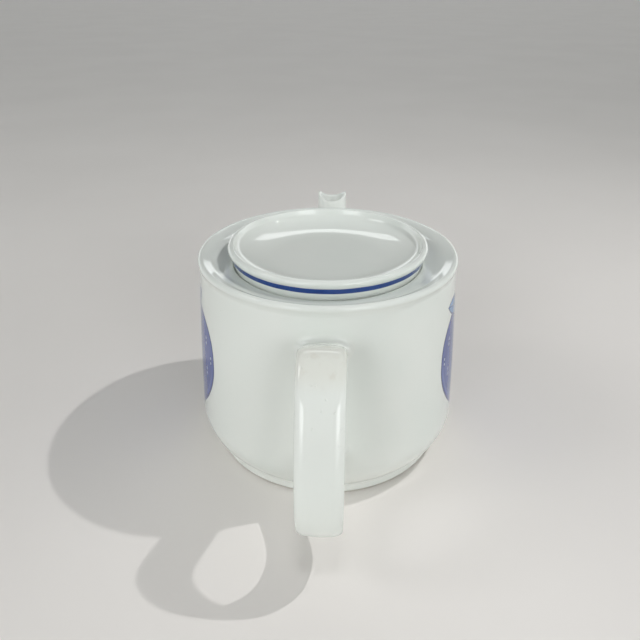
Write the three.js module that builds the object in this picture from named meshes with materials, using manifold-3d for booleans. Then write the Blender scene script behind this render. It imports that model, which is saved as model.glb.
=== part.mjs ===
// Porcelain teapot with a dish-shaped lid: a near-cylindrical pot on a low foot ring, a strap
// handle at the back, a short spout at the front, and a lid that sits in a shallow well.
//
// The pot is modelled as the castings that a pottery makes and sticks together with slip before
// glazing: body, gallery (the rim with its well), foot ring, spout and handle. The lid is a dish,
// a locating flange and a lug. Millimetres, +Z up, the spout along +X, the handle along -X. The
// origin is on the pot's axis, on the surface that the foot ring stands on.

import * as THREE from 'three';
import { mergeVertices } from 'three/addons/utils/BufferGeometryUtils.js';
import Module from 'manifold-3d';

const wasm = await Module();
wasm.setup();

// ---- Driving dimensions -------------------------------------------------------------------------

const joint = 0.3; // space between two castings that are stuck together or rest on each other
const turns = 48; // flat sides on everything turned

// Pot wall, from the rim downwards
const rimRadius = 67.8;
const rimHeight = 111.4;
const lipOverhang = 0.9; // the rounded lip stands out over the wall
const lipRadius = 1.9;
const wallFlare = 4.9; // the wall widens by this much from lip to heel
const wallBulge = 0.5; // and bows out a little on the way
const wallThickness = 4.0;
const galleryDrop = 13.0; // rim to the seam where the gallery is stuck on the body

// Heel, floor and foot ring
const heelHeight = 22.0;
const heelDepth = 18.0; // how far the rounded heel draws in
const heelUndershoot = 5.0; // the heel's curve would end this far below the top of the foot ring
const innerHeelShift = 1.0; // the inside of the heel is centred this far in and up from its outside
const floorThickness = 4.5;
const footHeight = 7.4;
const footInset = 7.6; // widest wall to the outside of the foot ring
const footWidth = 5.6;
const footLand = 2.8; // flat ring that touches the table
const footEdge = 0.6;
const footDraft = 0.3; // the ring's outside widens by this much up to the pot
const footUndercut = 2.2; // depth of the slope at the top of the ring's inside

// Well round the lid, from the lip inwards
const wellWidth = 10.7; // lip to the crease at the bottom of the slope
const wellDepth = 3.9;
const wellFloorWidth = 7.2; // crease to the lid's seat
const wellFloorDrop = 1.7;
const seatDepth = 1.2; // rebate that the lid's edge drops into
const seatWidth = 3.4;
const ledgeThickness = 4.0;
const slopeShoulder = 3.2; // the well's slope eases off this far before the crease
const slopeShoulderRise = 1.1;
const haunchWidth = 2.5; // underside of the ledge, where it thickens towards the wall
const haunchDepth = 1.2;

// Lid
const lidEdgeClearance = 0.7; // between the lid's lower edge and the rebate
const lidFlare = 2.9; // the lid's outer wall leans out by this much
const lidHeight = 11.2; // from its lower edge to the top of its rim
const lidRimRadius = 2.0;
const lidWall = 3.6;
const dishDepth = 9.0;
const dishFloorRadius = 27.0;
const dishWallHeight = 8.0; // curved part of the dish's wall
const dishLipInset = 1.6; // the curve stops this far inside the middle of the rim
const dishCentreDip = 0.3;
const lidFootInset = 2.0; // lid's underside to the top of the flange
const lidEdge = 0.6; // rounding of the lid's lower edge
const lidWaist = 0.55; // share of the flare reached half way up
const flangeClearance = 1.0; // between the flange and the pot's mouth
const flangeThickness = 3.5;
const flangeDepth = 9.5;
const flangeChamferWidth = 0.8;
const flangeChamferHeight = 1.2;
const lugWidth = 12.0;
const lugHeight = 3.6;
const lugReach = 3.0;
const lugClearance = 0.6;
const lugEmbed = 1.2; // the lug is let into the flange by this much

// Handle: a strap that leaves the wall below the rim, loops out and returns above the heel
const handleReach = 122.4; // pot axis to the outside of the loop
const handleWidthTop = 21.6;
const handleWidthBottom = 19.8;
const handleThickness = 5.8;
const handleTopDrop = 21.7; // rim to the strap's upper root
const handleRise = 9.8; // the strap climbs this much above its root before it turns down
const handleLowest = 22.3; // middle of the strap at its lowest
const handleOuterHeight = 46.0; // height of the widest point of the loop
const handleReturnHeight = 35.5; // lower root
const rootFlare = 1.08; // the strap spreads where it meets the wall
const strapSquareness = 2.8; // 2 is an ellipse, more is a rounded rectangle
const rootSpread = 0.1; // share of the strap's length that spreads
const rootRun = 4.0; // the strap leaves the wall straight for this far
const rootClimb = 2.4;
const crownShare = 0.34; // top of the loop, as a share of the way out
const shoulderShare = 0.62;
const shoulderDrop = 9.5;
const backShare = 0.87;
const backSag = 3.0;
const bottomCornerShare = 0.9;
const bottomCornerRise = 5.0;
const rootInset = 10; // handle and spout are drawn this far into the wall, then cut to fit it

// Spout
const spoutReach = 122.4; // pot axis to the pouring lip
const spoutDrop = 5.4; // rim to the tops of the spout's two corners
const spoutDip = 4.0; // the mouth dips this much between its corners
const spoutRootHeight = 46.0;
const spoutRootHalfWidth = 16.0;
const spoutRootHalfHeight = 22.0;
const spoutNeckHalfWidth = 8.6;
const spoutNeckHalfDepth = 7.2;
const spoutMouthHalfWidth = 9.4;
const spoutWall = 3.0;
const spoutLipWall = 2.0;
const spoutLead = 6.5; // the pouring lip stands out this far past the middle of the mouth

// Strainer: holes pierced through the wall inside the spout's root
const strainerHole = 4.2;
const strainerPitch = 7.4;
const strainerRows = [3, 4, 3];
const rowSpacing = 0.87; // rows are closer together than the holes in a row

// ---- Sizes that follow --------------------------------------------------------------------------

const wallTopRadius = rimRadius - lipOverhang;
const heelRadius = wallTopRadius + wallFlare;
const seamHeight = rimHeight - galleryDrop;
const lipBottom = rimHeight - 2 * lipRadius;
const footRadius = heelRadius - footInset;
const floorTop = footHeight + floorThickness;

const creaseRadius = rimRadius - wellWidth;
const creaseHeight = rimHeight - wellDepth;
const rebateRadius = creaseRadius - wellFloorWidth;
const rebateTop = creaseHeight - wellFloorDrop;
const seatHeight = rebateTop - seatDepth;
const mouthRadius = rebateRadius - seatWidth;
const ledgeBottom = seatHeight - ledgeThickness;

const lidBase = seatHeight + joint;
const lidBaseRadius = rebateRadius - lidEdgeClearance;
const lidTop = lidBase + lidHeight;
const lidRadius = lidBaseRadius + lidFlare;
const dishFloor = lidTop - dishDepth;
const lidUnderside = dishFloor - lidWall;
const flangeRadius = mouthRadius - flangeClearance;
const flangeInner = flangeRadius - flangeThickness;
const flangeTop = lidBase - joint;
const flangeBottom = flangeTop - flangeDepth;
const lugTop = ledgeBottom - lugClearance;
const lugRadius = flangeRadius + lugReach;

// ---- Helpers ------------------------------------------------------------------------------------

// Points along part of an ellipse, from one angle to another, in degrees.
function arc(centreX, centreZ, radiusX, radiusZ, from, to, steps) {
  const points = [];
  for (let i = 0; i <= steps; i += 1) {
    const angle = THREE.MathUtils.degToRad(from + ((to - from) * i) / steps);
    points.push([centreX + radiusX * Math.cos(angle), centreZ + radiusZ * Math.sin(angle)]);
  }
  return points;
}

// A closed solid from a three.js geometry.
function solidOf(geometry) {
  geometry.deleteAttribute('normal');
  geometry.deleteAttribute('uv');
  const merged = mergeVertices(geometry, 1e-4);
  const index = merged.index.array;
  const triangles = [];
  for (let i = 0; i < index.length; i += 3) {
    const [a, b, c] = [index[i], index[i + 1], index[i + 2]];
    if (a !== b && b !== c && c !== a) {
      triangles.push(a, b, c);
    }
  }
  return new wasm.Manifold(
    new wasm.Mesh({
      numProp: 3,
      vertProperties: new Float32Array(merged.attributes.position.array),
      triVerts: new Uint32Array(triangles),
    }),
  );
}

// A solid turned about the pot's axis from a closed outline of [radius, height] points.
function turned(outline) {
  const points = outline.map(([radius, height]) => new THREE.Vector2(radius, height));
  const onAxis = outline[0][0] === 0;
  if (!onAxis) {
    points.push(points[0].clone());
  }
  return solidOf(new THREE.LatheGeometry(points, turns).rotateX(Math.PI / 2));
}

// A bar bent along a curve in the XZ plane. The section is rounded: `squareness` 2 is an ellipse and
// more is a rounded rectangle. `halfSizes(t)` gives its half width along Y and its half depth.
function bent(curve, halfSizes, squareness, sides, rings) {
  const geometry = new THREE.CylinderGeometry(1, 1, 1, sides, rings);
  const position = geometry.attributes.position;
  for (let i = 0; i < position.count; i += 1) {
    const t = THREE.MathUtils.clamp(0.5 - position.getY(i), 0, 1);
    const across = position.getX(i);
    const along = position.getZ(i);
    const centre = curve.getPointAt(t);
    const direction = curve.getTangentAt(t);
    const [halfWidth, halfDepth] = halfSizes(t);
    const side = Math.sign(across) * Math.abs(across) ** (2 / squareness) * halfWidth;
    const depth = Math.sign(along) * Math.abs(along) ** (2 / squareness) * halfDepth;
    position.setXYZ(i, centre.x - direction.z * depth, side, centre.z + direction.x * depth);
  }
  return solidOf(geometry);
}

function curveThrough(points) {
  const knots = points.map(([x, z]) => new THREE.Vector3(x, 0, z));
  return new THREE.CatmullRomCurve3(knots, false, 'centripetal');
}

const porcelain = { color: 0xe4e7e2, roughness: 0.12, metalness: 0 };
const bare = { color: 0xd9d4c8, roughness: 0.7, metalness: 0 };
const pot = new THREE.Group();
const lid = new THREE.Group();

// Puts a finished solid in a group as a named mesh.
function place(group, name, solid, look) {
  const { vertProperties, triVerts } = solid.getMesh();
  const geometry = new THREE.BufferGeometry();
  geometry.setAttribute('position', new THREE.BufferAttribute(vertProperties, 3));
  geometry.setIndex(new THREE.BufferAttribute(triVerts, 1));
  geometry.computeVertexNormals();
  const mesh = new THREE.Mesh(geometry, new THREE.MeshStandardMaterial(look));
  mesh.name = name;
  group.add(mesh);
}

// ---- Pot wall -----------------------------------------------------------------------------------

// Outside radius of the wall at a height between the heel and the lip.
function wallRadius(height) {
  const t = THREE.MathUtils.clamp((lipBottom - height) / (lipBottom - heelHeight), 0, 1);
  return wallTopRadius + wallFlare * t + wallBulge * Math.sin(Math.PI * t);
}

// The wall's outline between two heights, moved in by `inset`.
function wallLine(from, to, inset, steps) {
  const points = [];
  for (let i = 0; i <= steps; i += 1) {
    const height = from + ((to - from) * i) / steps;
    points.push([wallRadius(height) - inset, height]);
  }
  return points;
}

// The rounded heel, from the foot up to the wall.
const heelFall = heelHeight - footHeight + heelUndershoot;
const heelStart = THREE.MathUtils.radToDeg(Math.asin((heelHeight - footHeight) / heelFall));
const heel = arc(heelRadius - heelDepth, heelHeight, heelDepth, heelFall, -heelStart, 0, 7);
const innerHeelHeight = heelHeight + innerHeelShift;
const innerHeel = arc(
  heelRadius - heelDepth - innerHeelShift,
  innerHeelHeight,
  heelDepth + innerHeelShift - wallThickness,
  innerHeelHeight - floorTop,
  0,
  -90,
  6,
);

const bodyOutline = [
  [0, footHeight],
  ...heel,
  ...wallLine(heelHeight, seamHeight, 0, 5).slice(1),
  ...wallLine(seamHeight, innerHeelHeight, wallThickness, 5),
  ...innerHeel.slice(1),
  [0, floorTop],
];

// The solid that the handle and the spout are fitted against: the pot's outside plus the joint.
const potOutside = turned([
  [0, 0],
  ...heel.map(([radius, height]) => [radius + joint, height]),
  ...wallLine(heelHeight, rimHeight, -joint, 6).slice(1),
  [0, rimHeight],
]);

// ---- Spout --------------------------------------------------------------------------------------

const mouthTop = rimHeight - spoutDrop;
const mouthLow = mouthTop - spoutDip;
const mouthCentre = spoutReach - spoutLead;
const tipRun = 8; // the curve runs this far above the mouth, which cuts it
const rootLead = 2; // the curve climbs this much as it leaves the wall
const bendOut = 20; // the bend at the bottom starts this far in from the middle of the mouth
const neckLean = 14; // and the neck leans in by this much
const neckDrop = 22; // where it is this far below the mouth
const cutterHalfWidth = 25; // the mouth's cutter is wider than the spout

// The spout leaves the wall nearly level, bends upwards and leans out again at the mouth.
const spoutLine = new THREE.CubicBezierCurve3(
  new THREE.Vector3(wallRadius(spoutRootHeight) - rootInset, 0, spoutRootHeight - rootLead),
  new THREE.Vector3(mouthCentre - bendOut, 0, spoutRootHeight + rootLead),
  new THREE.Vector3(mouthCentre - neckLean, 0, mouthLow - neckDrop),
  new THREE.Vector3(mouthCentre + tipRun / 2, 0, mouthTop + tipRun),
);

// Half width and half depth along the spout, less a wall that thins towards the lip.
function spoutSizes(wall, lipWall) {
  return (t) => {
    const root = (1 - t) ** 1.6;
    const lip = THREE.MathUtils.smoothstep(t, 0.7, 0.95);
    const inset = THREE.MathUtils.lerp(wall, lipWall, lip);
    const neckHalfWidth = THREE.MathUtils.lerp(spoutNeckHalfWidth, spoutMouthHalfWidth, lip);
    return [
      THREE.MathUtils.lerp(neckHalfWidth, spoutRootHalfWidth, root) - inset,
      THREE.MathUtils.lerp(spoutNeckHalfDepth, spoutRootHalfHeight, root) - inset,
    ];
  };
}

// Everything above the mouth: a trough along the spout that leaves its two corners standing.
function mouthCutter() {
  const radius = (spoutMouthHalfWidth ** 2 + spoutDip ** 2) / (2 * spoutDip);
  const sweep = Math.asin(spoutMouthHalfWidth / radius);
  const outline = new THREE.Shape();
  outline.moveTo(-cutterHalfWidth, mouthTop);
  outline.absarc(0, mouthLow + radius, radius, -Math.PI / 2 - sweep, -Math.PI / 2 + sweep, false);
  outline.lineTo(cutterHalfWidth, mouthTop);
  outline.lineTo(cutterHalfWidth, mouthTop + 3 * cutterHalfWidth);
  outline.lineTo(-cutterHalfWidth, mouthTop + 3 * cutterHalfWidth);
  const geometry = new THREE.ExtrudeGeometry(outline, {
    depth: 2 * spoutReach,
    bevelEnabled: false,
    curveSegments: 6,
  });
  geometry.rotateX(Math.PI / 2).rotateZ(Math.PI / 2);
  return solidOf(geometry);
}

const spoutOutside = bent(spoutLine, spoutSizes(0, 0), 2, 28, 16);
const spoutChannel = bent(spoutLine, spoutSizes(spoutWall, spoutLipWall), 2, 20, 12);
const spout = spoutOutside.subtract(spoutChannel).subtract(potOutside).subtract(mouthCutter());

// ---- Strainer holes -----------------------------------------------------------------------------

function strainerPins() {
  const pins = [];
  strainerRows.forEach((count, row) => {
    const height = spoutRootHeight + (row - (strainerRows.length - 1) / 2) * strainerPitch * rowSpacing;
    for (let i = 0; i < count; i += 1) {
      const side = (i - (count - 1) / 2) * strainerPitch;
      const length = 4 * wallThickness;
      const pin = new THREE.CylinderGeometry(strainerHole / 2, strainerHole / 2, length, 10);
      pin.rotateZ(Math.PI / 2).translate(wallRadius(height) - wallThickness / 2, side, height);
      pins.push(solidOf(pin));
    }
  });
  return pins;
}

const body = strainerPins().reduce((solid, pin) => solid.subtract(pin), turned(bodyOutline));

// ---- Foot ring ----------------------------------------------------------------------------------

const footTop = footHeight - joint;
const landOuter = footRadius - footEdge;
const landInner = landOuter - footLand;

const foot = turned([
  [landInner, 0],
  [landOuter, 0],
  [footRadius, footEdge],
  [footRadius + footDraft, footTop],
  [footRadius - footWidth, footTop],
  [footRadius - footWidth + footEdge, footTop - footUndercut],
]);

// ---- Gallery ------------------------------------------------------------------------------------

const lipCentre = rimRadius - lipRadius;
const galleryInside = wallRadius(seamHeight) - wallThickness;
const gallery = turned([
  [galleryInside, seamHeight + joint],
  ...wallLine(seamHeight + joint, lipBottom, 0, 2),
  ...arc(lipCentre, rimHeight - lipRadius, lipRadius, lipRadius, -40, 125, 6),
  [creaseRadius + slopeShoulder, creaseHeight + slopeShoulderRise],
  [creaseRadius, creaseHeight],
  [rebateRadius, rebateTop],
  [rebateRadius, seatHeight],
  [mouthRadius, seatHeight],
  [mouthRadius, ledgeBottom],
  [rebateRadius, ledgeBottom],
  [galleryInside - haunchWidth, creaseHeight - ledgeThickness - haunchDepth],
]);

// The notch that the lid's lug drops through. The lid's edge hides it.
function lugBlock(inner, outer, bottom, top, width) {
  const block = new THREE.BoxGeometry(outer - inner, width, top - bottom);
  return solidOf(block.translate(-(outer + inner) / 2, 0, (top + bottom) / 2));
}

const notch = lugBlock(
  mouthRadius - ledgeThickness,
  lugRadius + lugClearance,
  ledgeBottom - ledgeThickness,
  seatHeight + joint,
  lugWidth + 2 * lugClearance,
);

// ---- Handle -------------------------------------------------------------------------------------

const handleTop = rimHeight - handleTopDrop;
const handleOut = handleReach - handleThickness / 2;
const handleCrown = handleTop + handleRise;

// How far out from the wall to the widest point of the loop, as a share.
function out(share) {
  return -THREE.MathUtils.lerp(heelRadius, handleOut, share);
}

const handleLine = curveThrough([
  [rootInset - wallRadius(handleTop), handleTop - rootClimb],
  [-rootRun - wallRadius(handleTop), handleTop + rootClimb],
  [out(crownShare), handleCrown],
  [out(shoulderShare), handleCrown - shoulderDrop],
  [out(backShare), (handleCrown + handleOuterHeight) / 2 - backSag],
  [-handleOut, handleOuterHeight],
  [out(bottomCornerShare), handleLowest + bottomCornerRise],
  [out(shoulderShare), handleLowest],
  [out(crownShare), (handleLowest + handleReturnHeight) / 2 - rootClimb],
  [-rootRun - wallRadius(handleReturnHeight), handleReturnHeight - rootClimb],
  [rootInset - wallRadius(handleReturnHeight), handleReturnHeight + rootClimb],
]);

function handleSizes(t) {
  const root = 1 - THREE.MathUtils.smoothstep(Math.min(t, 1 - t), 0, rootSpread);
  const spread = 1 + (rootFlare - 1) * root;
  const width = THREE.MathUtils.lerp(handleWidthTop, handleWidthBottom, t);
  return [(width / 2) * spread, (handleThickness / 2) * spread];
}

const handle = bent(handleLine, handleSizes, strapSquareness, 20, 36).subtract(potOutside);

// ---- Lid ----------------------------------------------------------------------------------------

const lidRimCentre = lidRadius - lidRimRadius;
const dishWallWidth = lidRimCentre - dishLipInset - dishFloorRadius;
const dishWallTop = dishFloor + dishWallHeight;
const dishCurve = arc(dishFloorRadius, dishWallTop, dishWallWidth, dishWallHeight, 0, -90, 6);
const dish = turned([
  [0, lidUnderside],
  [flangeInner - lidFootInset, lidUnderside],
  [flangeInner - lidEdge, lidBase],
  [lidBaseRadius - lidEdge, lidBase],
  [lidBaseRadius, lidBase + lidEdge],
  [lidBaseRadius + lidFlare * lidWaist, lidBase + lidHeight / 2],
  ...arc(lidRimCentre, lidTop - lidRimRadius, lidRimRadius, lidRimRadius, -20, 120, 6),
  ...dishCurve,
  [0, dishFloor - dishCentreDip],
]);

const flangeWall = turned([
  [flangeInner, flangeBottom],
  [flangeRadius - flangeChamferWidth, flangeBottom],
  [flangeRadius, flangeBottom + flangeChamferHeight],
  [flangeRadius, flangeTop],
  [flangeInner, flangeTop],
]);

// The lug is let into the flange with the joint's space all round its root.
const lugRoot = flangeRadius - lugEmbed;
const lugSeat = lugBlock(
  lugRoot - joint,
  lugRadius,
  lugTop - lugHeight - joint,
  lugTop + joint,
  lugWidth + 2 * joint,
);
const lug = lugBlock(lugRoot, lugRadius, lugTop - lugHeight, lugTop, lugWidth);

// ---- Assembly -----------------------------------------------------------------------------------

place(pot, 'body', body, porcelain);
place(pot, 'gallery', gallery.subtract(notch), porcelain);
place(pot, 'foot_ring', foot, bare);
place(pot, 'spout', spout, porcelain);
place(pot, 'handle', handle, porcelain);
place(lid, 'lid_dish', dish, porcelain);
place(lid, 'lid_flange', flangeWall.subtract(lugSeat), porcelain);
place(lid, 'lid_lug', lug, porcelain);

const teapot = new THREE.Group();
teapot.add(pot, lid);

export default teapot;
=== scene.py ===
# %% [markdown]
# # A porcelain teapot
#
# This lesson dresses a teapot whose sizes are already fixed. The fixed model has eight pieces: the
# pot's wall, its gallery (the rim and the well that the lid sits in), foot ring, spout and handle,
# and the lid's dish, flange and lug. Each is replaced here by a finer mesh of the same size, with
# the soft edges that a casting gets from the sponge and from the glaze. A potter would throw or
# cast the round pieces, so here they are turned from an outline. The spout and handle are swept
# along a line, because that is how their moulds are drawn.

import bpy
import math
import numpy as np
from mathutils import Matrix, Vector


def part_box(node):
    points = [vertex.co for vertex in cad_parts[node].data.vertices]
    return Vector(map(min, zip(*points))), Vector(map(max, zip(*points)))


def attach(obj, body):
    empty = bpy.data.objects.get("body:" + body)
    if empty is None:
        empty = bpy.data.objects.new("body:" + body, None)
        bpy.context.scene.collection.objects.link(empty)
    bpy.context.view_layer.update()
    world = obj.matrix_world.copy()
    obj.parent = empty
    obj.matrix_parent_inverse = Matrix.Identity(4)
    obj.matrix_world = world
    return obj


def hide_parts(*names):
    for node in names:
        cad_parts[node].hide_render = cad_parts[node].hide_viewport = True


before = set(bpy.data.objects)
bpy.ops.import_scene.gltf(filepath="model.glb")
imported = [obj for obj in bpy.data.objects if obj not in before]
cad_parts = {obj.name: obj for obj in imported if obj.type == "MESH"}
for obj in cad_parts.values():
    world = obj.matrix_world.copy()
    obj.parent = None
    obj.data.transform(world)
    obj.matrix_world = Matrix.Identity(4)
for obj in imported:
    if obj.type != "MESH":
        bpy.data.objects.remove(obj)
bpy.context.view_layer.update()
print("pieces in the fixed model:", sorted(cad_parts))

# %% [markdown]
# ## Sizes
#
# The sizes below are in millimetres, which suits pottery, and a mesh is scaled to metres when it is
# made. The rim, the heel and the lid are read from the fixed model, so that the finer pieces can't
# drift away from it. The rest follows the same drawing as the fixed model.

# %% Sizes from the fixed model
MM = 0.001


def box_mm(node):
    low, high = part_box(node)
    return np.array(low) / MM, np.array(high) / MM


gallery_box, body_box = box_mm("gallery"), box_mm("body")
dish_box, flange_box, lug_box = box_mm("lid_dish"), box_mm("lid_flange"), box_mm("lid_lug")
spout_box, handle_box = box_mm("spout"), box_mm("handle")

rim_radius = gallery_box[1][0]
rim_height = gallery_box[1][2]
heel_radius = body_box[1][0]
lid_radius = dish_box[1][0]
lid_top = dish_box[1][2]
foot_height = body_box[0][2]
print(f"rim {rim_radius:.1f} x {rim_height:.1f}, heel {heel_radius:.1f}")
print(f"lid {lid_radius:.1f} x {lid_top:.1f}")
print("spout", spout_box, "handle", handle_box)

# %% The wall's line
wall_thickness = 4.0
lip_overhang = 0.9
lip_radius = 1.9
lip_bottom = rim_height - 2 * lip_radius
wall_top = rim_radius - lip_overhang
wall_bulge = 0.5
heel_height = 22.0
seam_height = rim_height - 13.0


def wall_radius(height):
    """Outside radius of the pot's wall: it widens downwards and bows out a little."""
    t = np.clip((lip_bottom - height) / (lip_bottom - heel_height), 0, 1)
    return wall_top + (heel_radius - wall_top) * t + wall_bulge * np.sin(np.pi * t)


print(f"wall radius at the seam {wall_radius(seam_height):.2f}, half way {wall_radius(60.0):.2f}")

# %% [markdown]
# ## Turned pieces
#
# A turned piece is an outline of radius and height, spun about the pot's axis. Blender's Screw
# modifier would do it too, but plain arrays let each corner have its own rounding, which is what
# makes glazed clay look soft. Corners are given as radius, height and rounding, and an arc replaces
# each corner. Real glaze never leaves a sharp edge, and a rounded edge catches the light.

# %% Outlines with rounded corners
def arc(centre, radii, start, end, steps):
    """Points on part of an ellipse, angles in degrees."""
    angles = np.radians(np.linspace(start, end, steps + 1))
    return [
        (centre[0] + radii[0] * math.cos(a), centre[1] + radii[1] * math.sin(a), 0) for a in angles
    ]


def rounded(corners, closed=True):
    """Turns (radius, height, rounding) corners into a smooth outline."""
    outline = []
    count = len(corners)
    for i, (x, z, rounding) in enumerate(corners):
        at_end = not closed and i in (0, count - 1)
        if rounding == 0 or at_end:
            outline.append((x, z))
            continue
        corner = np.array([x, z])
        before = np.array(corners[i - 1][:2]) - corner
        after = np.array(corners[(i + 1) % count][:2]) - corner
        before, after = before / np.linalg.norm(before), after / np.linalg.norm(after)
        half = math.acos(np.clip(before @ after, -1, 1)) / 2
        middle = (before + after) / np.linalg.norm(before + after)
        centre = corner + middle * rounding / math.sin(half)
        first = corner + before * rounding / math.tan(half) - centre
        last = corner + after * rounding / math.tan(half) - centre
        turn = math.acos(np.clip(first @ last / rounding**2, -1, 1))
        steps = max(3, math.ceil(math.degrees(turn) / 7))
        for step in range(steps + 1):
            t = step / steps
            point = first * math.sin((1 - t) * turn) + last * math.sin(t * turn)
            outline.append(tuple(centre + point / math.sin(turn)))
    return outline


# %% Meshes from rows of points
def mesh_piece(name, points, faces, sharp_angle=40):
    """A piece from points in millimetres. Edges sharper than the angle stay crisp."""
    mesh = bpy.data.meshes.new(name)
    mesh.from_pydata([tuple(p) for p in np.array(points) * MM], [], faces)
    mesh.validate()
    mesh.shade_smooth()
    mesh.set_sharp_from_angle(angle=math.radians(sharp_angle))
    piece = bpy.data.objects.new(name, mesh)
    bpy.context.scene.collection.objects.link(piece)
    return piece


def ring_faces(first, second, count):
    """Quads between two rings, or triangles where one of them is a single point."""
    a, b = list(first), list(second)
    faces = []
    for i in range(count):
        j = (i + 1) % count
        if len(a) == 1:
            faces.append((a[0], b[j], b[i]))
        elif len(b) == 1:
            faces.append((a[i], a[j], b[0]))
        else:
            faces.append((a[i], a[j], b[j], b[i]))
    return faces


def turned(name, outline, segments=256, reshape=None):
    """Spins an outline. `reshape` may change a ring's radii as a function of the angle."""
    angles = np.arange(segments) * 2 * np.pi / segments
    points, rings = [], []
    for radius, height in outline:
        start = len(points)
        if radius == 0:
            points.append((0.0, 0.0, height))
        else:
            radii = np.full(segments, radius)
            if reshape is not None:
                radii = reshape(radii, height, angles)
            points.extend(zip(radii * np.cos(angles), radii * np.sin(angles), [height] * segments))
        rings.append(range(start, len(points)))
    faces = []
    pairs = list(zip(rings, rings[1:]))
    if outline[0][0] != 0:
        pairs.append((rings[-1], rings[0]))
    for a, b in pairs:
        faces += ring_faces(a, b, segments)
    piece = mesh_piece(name, points, faces)
    face_outwards(piece)
    return piece


def face_outwards(piece):
    """Turns a closed piece's faces so that its volume is positive."""
    import bmesh

    work = bmesh.new()
    work.from_mesh(piece.data)
    bmesh.ops.recalc_face_normals(work, faces=work.faces)
    if work.calc_volume(signed=True) < 0:
        bmesh.ops.reverse_faces(work, faces=work.faces)
    open_edges = sum(1 for e in work.edges if len(e.link_faces) != 2)
    volume = work.calc_volume() / MM**3 / 1000
    work.to_mesh(piece.data)
    work.free()
    faces = len(piece.data.polygons)
    print(f"{piece.name}: {faces} faces, {volume:.1f} cm3, {open_edges} open edges")


# %% [markdown]
# ## The pot's wall
#
# The wall is one casting: a flat floor, a rounded heel and a nearly straight side that ends at a
# seam, where the gallery is stuck on. The heel is a quarter of an ellipse, outside and inside.

# %% Turn the wall
heel_depth = 18.0
floor_top = foot_height + 4.5
heel_sole = foot_height - 5.0
heel_start = math.degrees(math.asin((heel_height - foot_height) / (heel_height - heel_sole)))
heel_centre = (heel_radius - heel_depth, heel_height)
heel_radii = (heel_depth, heel_height - heel_sole)


def wall_line(low, high, inset, steps):
    return [(wall_radius(z) - inset, z, 0) for z in np.linspace(low, high, steps + 1)]


wall_outline = (
    [(0, foot_height, 0)]
    + arc(heel_centre, heel_radii, -heel_start, 0, 18)
    + wall_line(heel_height, seam_height, 0, 44)[1:]
    + wall_line(seam_height, heel_height + 1, wall_thickness, 30)
    + arc(
        (heel_centre[0] - 1, heel_height + 1),
        (heel_depth + 1 - wall_thickness, heel_height + 1 - floor_top),
        0,
        -90,
        16,
    )[1:]
    + [(30, floor_top, 0), (0, floor_top, 0)]
)
wall = turned("pot_wall", rounded(wall_outline, closed=False))

# %% [markdown]
# ## Strainer holes
#
# Behind the spout the wall is pierced with ten small holes that hold back the leaves. They are
# cut with a punch while the clay is damp, and glaze rounds their edges. A cutter that flares at
# both ends, like a reel, cuts the hole and its soft edge in one go.

# %% Pierce the wall behind the spout
hole_radius = 2.1
hole_pitch = 7.4
spout_root_height = 46.0
edge_softness = 0.7


def reel_cutter(position):
    """A flared cutter across the wall at a height and sideways place."""
    height, side = position
    middle = wall_radius(height) - wall_thickness / 2
    outside = math.sqrt(wall_radius(height) ** 2 - side**2)
    inside = math.sqrt((wall_radius(height) - wall_thickness) ** 2 - side**2)
    stations = [(inside - 3, 0.0)]
    flare = [
        (edge_softness * (1 - math.sin(a)), edge_softness * (1 - math.cos(a)))
        for a in np.radians([8, 25, 45, 65, 90])
    ]
    stations += [(inside - 3, flare[0][0] + hole_radius + 1.2)]
    stations += [(inside + run, hole_radius + flared) for flared, run in flare]
    stations += [(outside - run, hole_radius + flared) for flared, run in reversed(flare)]
    stations += [(outside + 3, flare[0][0] + hole_radius + 1.2), (outside + 3, 0.0)]
    points, rings = [], []
    around = 28
    for x, radius in stations:
        start = len(points)
        if radius == 0:
            points.append((x, side, height))
        else:
            for i in range(around):
                angle = 2 * math.pi * i / around
                y, z = side + radius * math.cos(angle), height + radius * math.sin(angle)
                points.append((x, y, z))
        rings.append(range(start, len(points)))
    faces = []
    for a, b in zip(rings, rings[1:]):
        faces += ring_faces(a, b, around)
    cutter = mesh_piece("cutter", points, faces)
    return cutter


def cut(piece, cutters):
    """Subtracts closed cutters from a piece and throws the cutters away."""
    import bmesh

    joined = bmesh.new()
    for cutter in cutters:
        joined.from_mesh(cutter.data)
        bpy.data.objects.remove(cutter)
    bmesh.ops.recalc_face_normals(joined, faces=joined.faces)
    mesh = bpy.data.meshes.new("cutters")
    joined.to_mesh(mesh)
    joined.free()
    tool = bpy.data.objects.new("cutters", mesh)
    bpy.context.scene.collection.objects.link(tool)
    difference = piece.modifiers.new("pierce", "BOOLEAN")
    difference.operation = "DIFFERENCE"
    difference.solver = "EXACT"
    difference.object = tool
    bpy.context.view_layer.update()
    cut_piece = piece.evaluated_get(bpy.context.evaluated_depsgraph_get())
    result = bpy.data.meshes.new_from_object(cut_piece)
    piece.modifiers.clear()
    piece.data = result
    piece.data.shade_smooth()
    piece.data.set_sharp_from_angle(angle=math.radians(40))
    bpy.data.objects.remove(tool)
    face_outwards(piece)


hole_places = []
for row, count in enumerate([3, 4, 3]):
    for i in range(count):
        hole_height = spout_root_height + (row - 1) * hole_pitch * 0.87
        hole_places.append((hole_height, (i - (count - 1) / 2) * hole_pitch))
cut(wall, [reel_cutter(place) for place in hole_places])

# %% [markdown]
# ## The gallery
#
# The gallery is the rim with its well: a rounded lip, a slope down to a crease, a floor that
# slopes on to the lid's seat, and a ledge. It is cast apart and stuck on, and after glazing the
# seam doesn't show. At the back the ledge has a notch that the lid's lug drops through. The
# notch is made by moving the ledge's inner edge outwards over a few degrees.

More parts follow.
